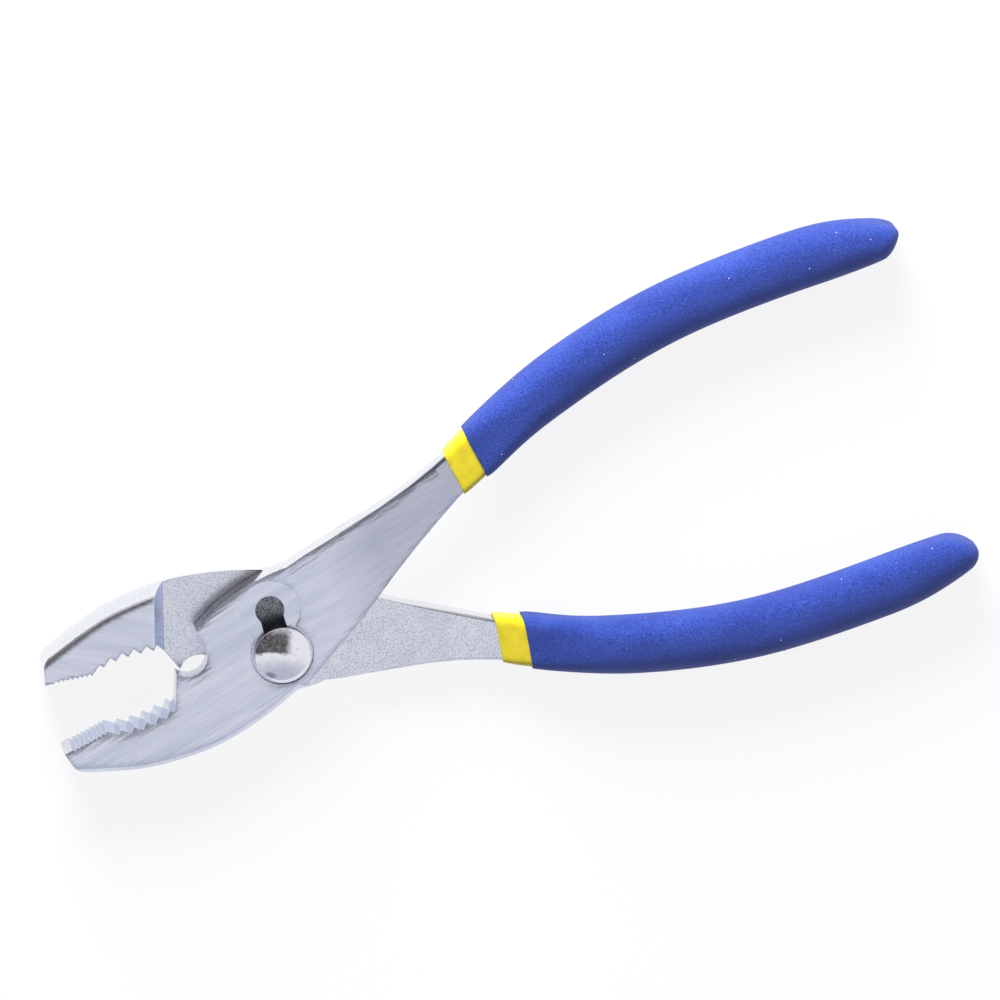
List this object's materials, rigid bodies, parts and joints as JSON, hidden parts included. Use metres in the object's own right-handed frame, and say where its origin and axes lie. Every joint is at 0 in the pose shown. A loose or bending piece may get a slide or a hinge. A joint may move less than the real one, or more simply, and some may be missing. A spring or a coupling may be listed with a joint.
{
  "type": "slip-joint pliers",
  "caption": "Adjustable slip-joint pliers: two forged steel levers on a bolt that shifts between two places in a slot, toothed jaws, and handles dipped in blue vinyl over a yellow coat.",
  "frame": {"origin": "pivot axis at the bolt's lower end, on the surface that the pliers lie on", "axes": "+X from the jaws to the handles along the middle of the opened pliers, +Y towards the slotted lever's handle, +Z along the pivot axis towards the bolt's domed head"},
  "size_m": [0.2006, 0.0859, 0.0143],
  "materials": {
    "brushed_steel": "ground along the lever, nickel plated",
    "forged_steel": "forged satin with ground jaw, nickel plated",
    "polished_steel": "mirror polished",
    "plated_steel": "plated satin",
    "yellow_vinyl": "smooth dipped, semi-gloss",
    "blue_vinyl": "dipped, matt and finely speckled"
  },
  "bodies": {
    "slotted_lever": {"slotted_lever": "brushed_steel", "slotted_lever_inner_coat": "yellow_vinyl", "slotted_lever_grip": "blue_vinyl"},
    "pivot": {"pivot_bolt": "polished_steel", "pivot_nut": "plated_steel"},
    "pinned_lever": {"pinned_lever": "forged_steel", "pinned_lever_inner_coat": "yellow_vinyl", "pinned_lever_grip": "blue_vinyl"}
  },
  "joints": [
    {"name": "slip", "type": "slide", "parent": "slotted_lever", "child": "pivot", "axis": [0.0567, 0.9984, 0], "range_m": [0, 0.0098]},
    {"name": "jaw_pivot", "type": "hinge", "parent": "pivot", "child": "pinned_lever", "pos_m": [0, 0, 0], "axis": [0, 0, -1], "range_deg": [-17.5, 22.5]}
  ]
}
